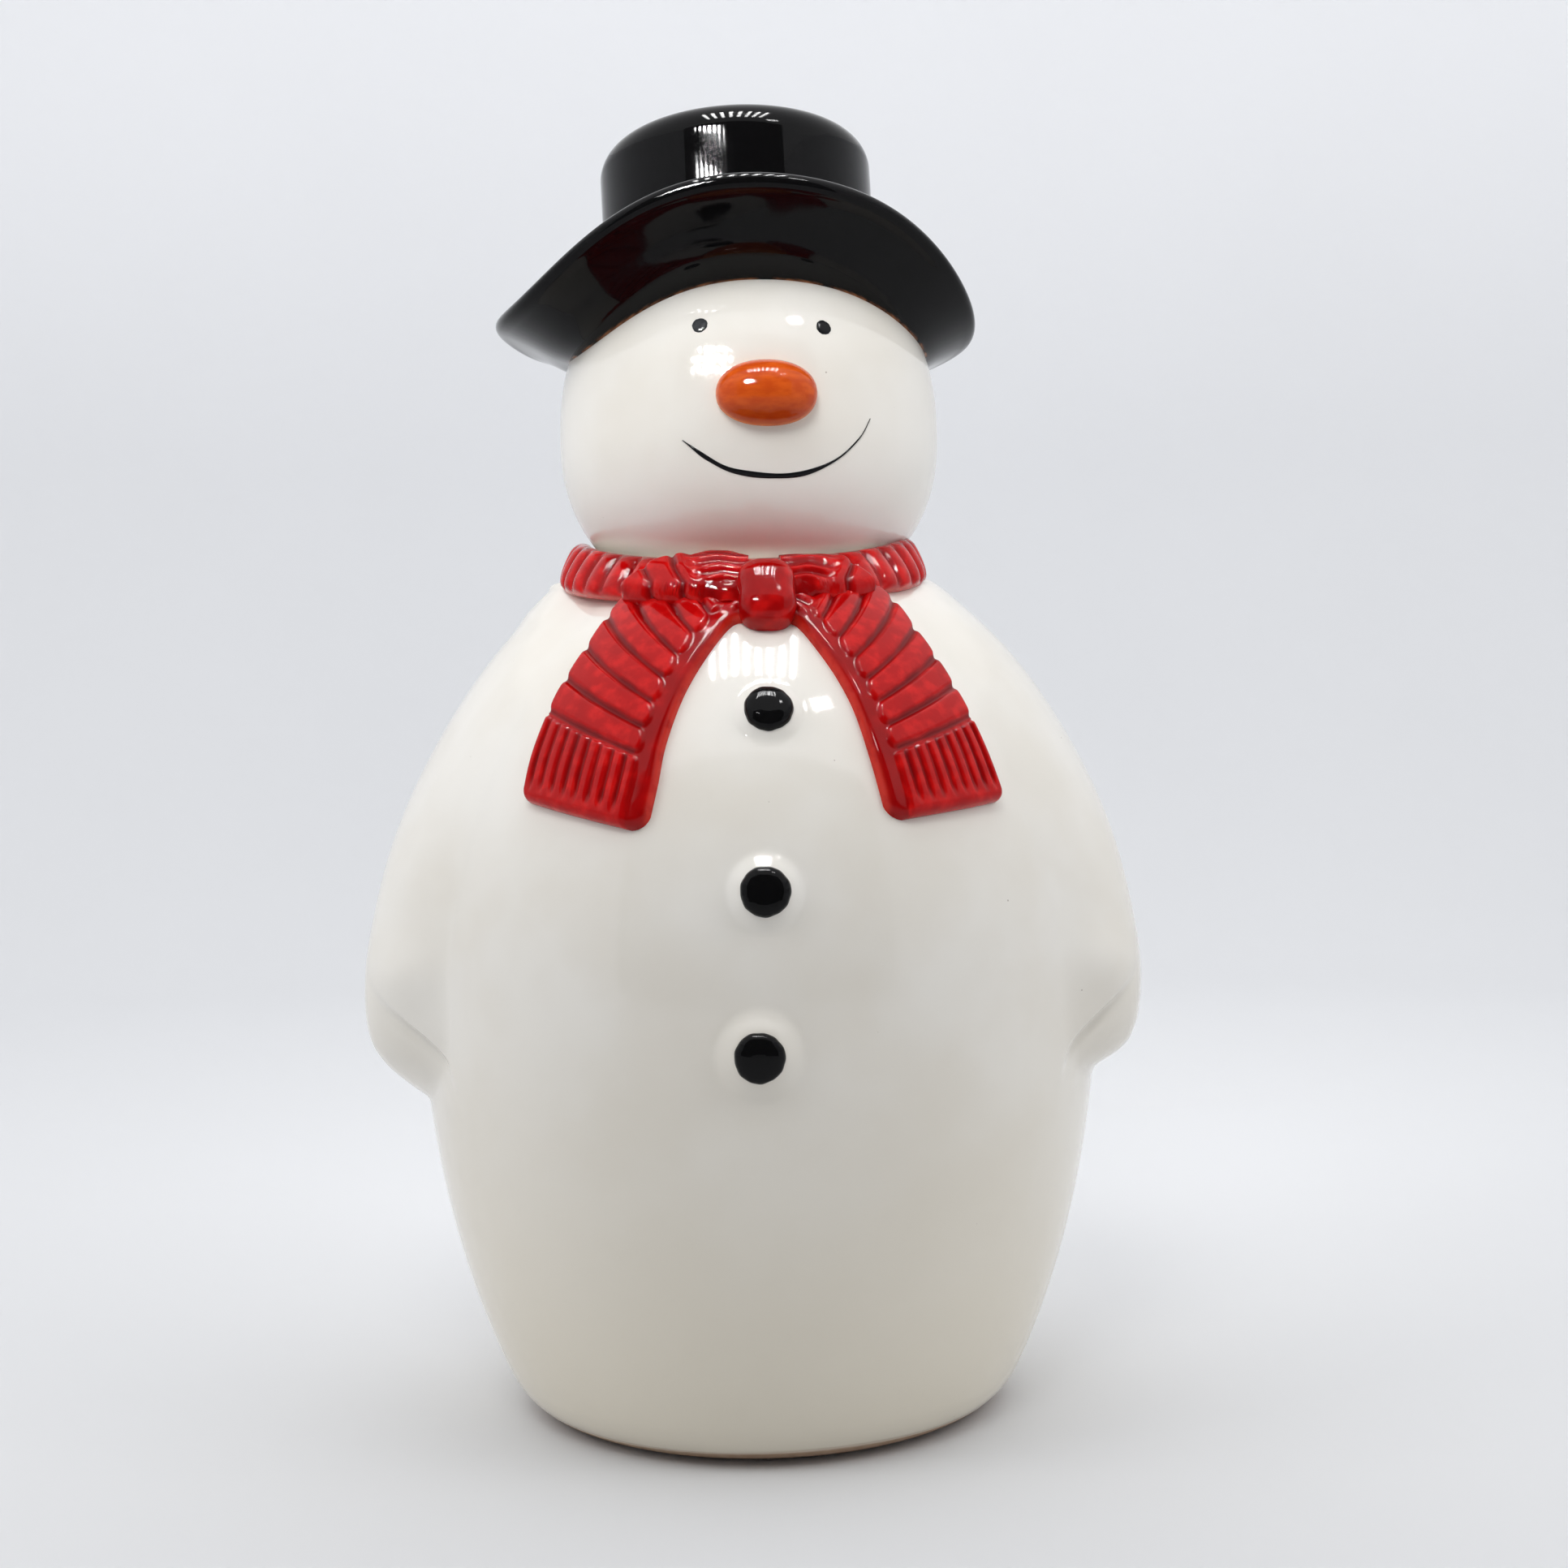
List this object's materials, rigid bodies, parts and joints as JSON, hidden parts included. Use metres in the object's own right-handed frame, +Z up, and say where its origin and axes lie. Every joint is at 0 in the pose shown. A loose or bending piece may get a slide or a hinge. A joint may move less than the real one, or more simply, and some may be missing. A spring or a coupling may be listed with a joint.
{
  "type": "snowman figure",
  "caption": "Standing glazed earthenware snowman with a top hat, a ribbed scarf, a button front and a push-in base stopper.",
  "frame": {"origin": "centre of the foot ring, on the surface the figure stands on", "axes": "+Z up; the figure faces -Y; +X is the figure's left, the viewer's right"},
  "size_m": [0.1848, 0.1681, 0.3021],
  "materials": {
    "white_glaze": "clear gloss glaze over white earthenware",
    "black_glaze": "brushed black underglaze under clear gloss glaze",
    "red_glaze": "translucent red glaze, darker where it pools",
    "orange_glaze": "brushed orange underglaze under clear gloss glaze",
    "black_enamel": "thin brushed enamel line",
    "stopper_rubber": "matt moulded"
  },
  "bodies": {
    "figure": {"body_shell": "white_glaze", "head_shell": "white_glaze", "hat_crown": "black_glaze", "hat_brim": "black_glaze", "scarf_collar": "red_glaze", "scarf_tail_left": "red_glaze", "scarf_tail_right": "red_glaze", "scarf_knot": "red_glaze", "nose": "orange_glaze", "eye_left": "black_enamel", "eye_right": "black_enamel", "mouth": "black_enamel", "button_top": "black_glaze", "button_middle": "black_glaze", "button_bottom": "black_glaze"},
    "stopper": {"base_stopper": "stopper_rubber"}
  },
  "joints": [
    {"name": "stopper_pull", "type": "slide", "parent": "figure", "child": "stopper", "axis": [0, 0, -1], "range_m": [0, 0.0115]}
  ]
}
